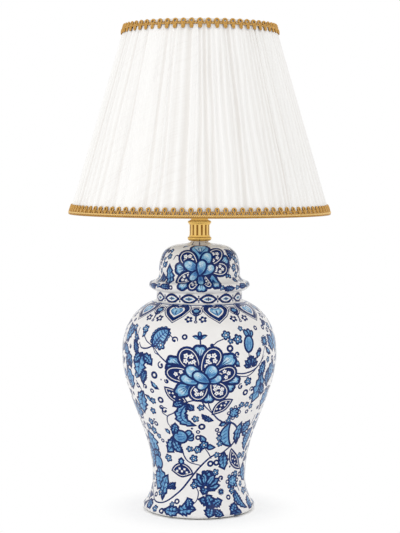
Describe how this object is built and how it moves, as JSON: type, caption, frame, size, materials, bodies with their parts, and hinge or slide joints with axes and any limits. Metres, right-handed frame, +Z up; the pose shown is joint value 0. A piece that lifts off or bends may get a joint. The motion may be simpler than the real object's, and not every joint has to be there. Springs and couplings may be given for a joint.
{
  "type": "table lamp",
  "caption": "Blue and white ginger jar table lamp with a brass neck, a harp and a pleated cone shade edged in gold braid.",
  "frame": {"origin": "on the lamp's axis at the surface that the foot's felt stands on", "axes": "+Z up along the lamp's axis, -Y is the front with the main flower and the switch, +X to the right seen from the front, the cord leaves at +Y"},
  "size_m": [0.364, 0.364, 0.6753],
  "materials": {
    "glazed_porcelain": "white glaze over hand-painted style cobalt blue flowers, glossy",
    "felt": "dark felt",
    "black_plastic": "moulded, satin",
    "rubber": "matt",
    "plated_steel": "zinc plated",
    "polished_brass": "polished and lacquered",
    "brass_plate": "thin plate on steel",
    "insulating_board": "pressed fibre",
    "phenolic": "moulded",
    "bulb_glass": "soft white",
    "clear_glass": "clear",
    "bulb_aluminium": "drawn",
    "filament_wire": "thin wire",
    "pleated_cloth": "white pleated cloth",
    "lining_cloth": "white lining",
    "frame_paint": "white paint on steel wire",
    "gold_braid": "gold gimp braid"
  },
  "bodies": {
    "lamp": {"jar_body": "glazed_porcelain", "jar_lid": "glazed_porcelain", "foot_felt": "felt", "cord_bushing": "black_plastic", "lamp_rod": "plated_steel", "base_rubber_washer": "rubber", "base_steel_washer": "plated_steel", "base_lock_washer": "plated_steel", "base_nut": "plated_steel", "neck_base_ring": "polished_brass", "neck_barrel": "polished_brass", "neck_top_ring": "polished_brass", "neck_locknut": "polished_brass", "harp_saddle": "brass_plate", "harp_bow": "brass_plate", "harp_stud": "brass_plate", "socket_cap": "brass_plate", "socket_setscrew": "plated_steel", "socket_shell": "brass_plate", "socket_liner": "insulating_board", "socket_base": "phenolic", "terminal_screws": "brass_plate", "screw_shell": "brass_plate", "center_contact": "brass_plate"},
    "shade": {"shade_cover": "pleated_cloth", "shade_lining": "lining_cloth", "shade_top_ring": "frame_paint", "shade_bottom_ring": "frame_paint", "shade_ribs": "frame_paint", "shade_spider": "brass_plate", "top_braid": "gold_braid", "bottom_braid": "gold_braid"},
    "finial": {"finial": "polished_brass"},
    "bulb": {"bulb_globe": "bulb_glass", "bulb_screw_cap": "bulb_aluminium", "bulb_insulator": "phenolic", "bulb_contact": "plated_steel", "bulb_stem": "clear_glass", "bulb_filament": "filament_wire"},
    "switch": {"switch_stem": "plated_steel", "switch_knob": "phenolic"},
    "left_sleeve": {"harp_sleeve_left": "brass_plate"},
    "right_sleeve": {"harp_sleeve_right": "brass_plate"}
  },
  "joints": [
    {"name": "shade_swivel", "type": "hinge", "parent": "lamp", "child": "shade", "pos_m": [0, 0, 0.6513], "axis": [0, 0, 1], "continuous": true},
    {"name": "finial_turn", "type": "hinge", "parent": "lamp", "child": "finial", "pos_m": [0, 0, 0.66], "axis": [0, 0, 1], "continuous": true},
    {"name": "bulb_turn", "type": "hinge", "parent": "lamp", "child": "bulb", "pos_m": [0, 0, 0.47], "axis": [0, 0, 1], "continuous": true},
    {"name": "switch_turn", "type": "hinge", "parent": "lamp", "child": "switch", "pos_m": [0, -0.025, 0.4396], "axis": [0, -1, 0], "continuous": true},
    {"name": "left_sleeve_lift", "type": "slide", "parent": "lamp", "child": "left_sleeve", "axis": [0, 0, 1], "range_m": [0, 0.012]},
    {"name": "right_sleeve_lift", "type": "slide", "parent": "lamp", "child": "right_sleeve", "axis": [0, 0, 1], "range_m": [0, 0.012]}
  ]
}
